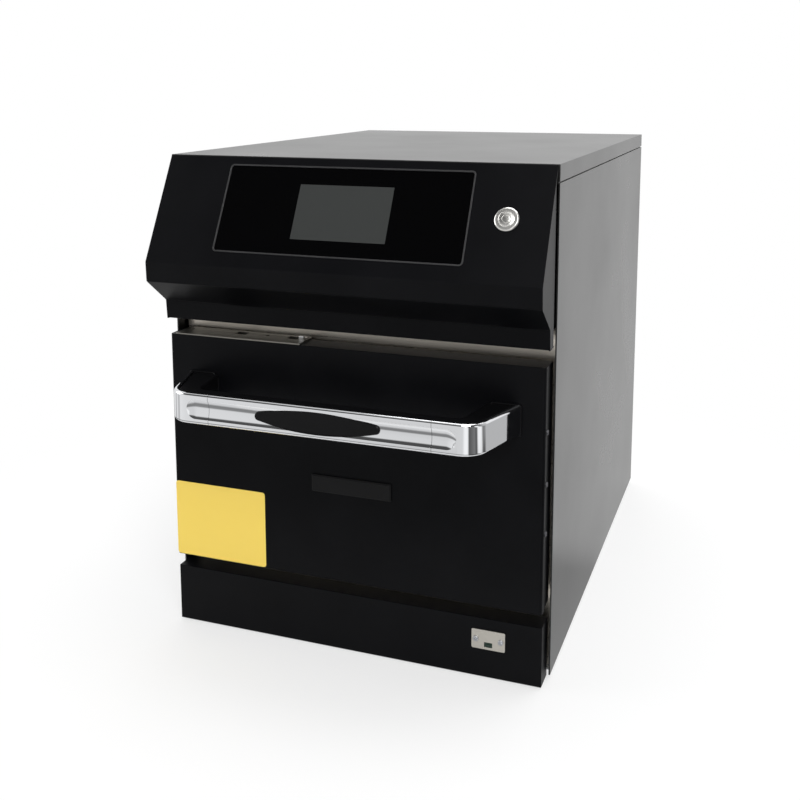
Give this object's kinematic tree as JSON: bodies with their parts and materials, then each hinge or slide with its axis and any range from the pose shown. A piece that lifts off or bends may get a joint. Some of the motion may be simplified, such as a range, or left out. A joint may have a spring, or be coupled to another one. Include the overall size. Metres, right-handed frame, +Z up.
{
  "type": "benchtop high-speed oven",
  "caption": "Compact black benchtop high-speed oven with a slanted touch control head, a drop-down insulated door with a chrome bar handle, a stainless cavity and a kick panel.",
  "frame": {"origin": "centre of the whole footprint, handle to cord gland, on the plane the oven stands on", "axes": "+X to the right seen from the front, +Y from the door to the rear, +Z up"},
  "size_m": [0.4, 0.649, 0.496],
  "materials": {
    "cabinet_paint": "satin black powder coat",
    "front_paint": "satin black powder coat",
    "touch_glass": "black back-printed glass, polished",
    "display": "grey unlit display behind clear glass",
    "stainless": "brushed along the width",
    "bright_metal": "fine satin turned metal",
    "zinc_steel": "zinc-plated, dull",
    "chrome": "bright chrome plate",
    "handle_black": "fine-grained black moulding",
    "black_plastic": "satin black moulding",
    "rubber": "matt black",
    "cap_green": "matt dark green",
    "card_yellow": "satin printed film, bare",
    "choke_polymer": "heat-resistant, satin",
    "ceramic": "opaque white cordierite",
    "fibre": "mineral fibre mat",
    "circuit_green": "solder-masked board with parts",
    "coil_metal": "varnished laminations and windings",
    "element": "oxidised sheath",
    "motor_grey": "satin grey"
  },
  "bodies": {
    "cabinet": {"feet": "rubber", "base_pan": "zinc_steel", "side_panel_left": "cabinet_paint", "side_panel_right": "cabinet_paint", "top_cover": "cabinet_paint", "rear_panel": "front_paint", "rear_screws": "zinc_steel", "front_posts": "front_paint", "front_frame": "stainless", "kick_panel": "front_paint", "usb_plate": "bright_metal", "usb_plate_screws": "zinc_steel", "usb_port_cap": "cap_green", "cable_gland": "black_plastic", "control_fascia": "front_paint", "fascia_brackets": "zinc_steel", "glass_bezel": "black_plastic", "touch_glass": "touch_glass", "display_screen": "display", "control_board": "circuit_green", "switch_body": "bright_metal", "hinge_brackets": "zinc_steel", "cavity_liner": "stainless", "ceramic_floor": "ceramic", "wire_rack": "bright_metal", "jet_plate": "stainless", "fan_baffle": "stainless", "fan_plenum": "zinc_steel", "heater_ring": "element", "fan_motor": "motor_grey", "cavity_lagging": "fibre", "chassis_shelf": "zinc_steel", "waveguide": "zinc_steel", "magnetron": "bright_metal", "hv_transformer": "coil_metal", "hv_capacitor": "bright_metal", "power_board": "circuit_green", "cooling_fan_frame": "black_plastic", "interlock_switches": "black_plastic"},
    "door": {"door_skin": "front_paint", "door_inner_pan": "stainless", "door_insulation": "fibre", "choke_frame": "choke_polymer", "latch_plate": "stainless", "latch_hook": "bright_metal", "door_hooks": "bright_metal", "door_side_screws": "zinc_steel", "hinge_plates": "zinc_steel", "hinge_pins": "bright_metal", "handle_core": "handle_black", "handle_bar": "chrome", "handle_end_left": "chrome", "handle_end_right": "chrome", "handle_grip": "handle_black", "handle_bases": "handle_black", "badge_plate": "black_plastic", "care_card": "card_yellow"},
    "button": {"power_button": "bright_metal"},
    "convection_rotor": {"fan_wheel": "stainless"},
    "cooling_rotor": {"cooling_fan_rotor": "black_plastic"}
  },
  "joints": [
    {"name": "door_hinge", "type": "hinge", "parent": "cabinet", "child": "door", "pos_m": [0, -0.233, 0.084], "axis": [1, 0, 0], "range_deg": [0, 90]},
    {"name": "power_press", "type": "slide", "parent": "cabinet", "child": "button", "axis": [0, 0.8811, -0.4729], "range_m": [0, 0.002], "stiffness_N_per_m": 400, "springref_m": -0.0005},
    {"name": "convection_spin", "type": "hinge", "parent": "cabinet", "child": "convection_rotor", "pos_m": [0, 0.137, 0.196], "axis": [0, 1, 0], "continuous": true},
    {"name": "cooling_spin", "type": "hinge", "parent": "cabinet", "child": "cooling_rotor", "pos_m": [0.078, 0.2895, 0.405], "axis": [0, 1, 0], "continuous": true}
  ]
}
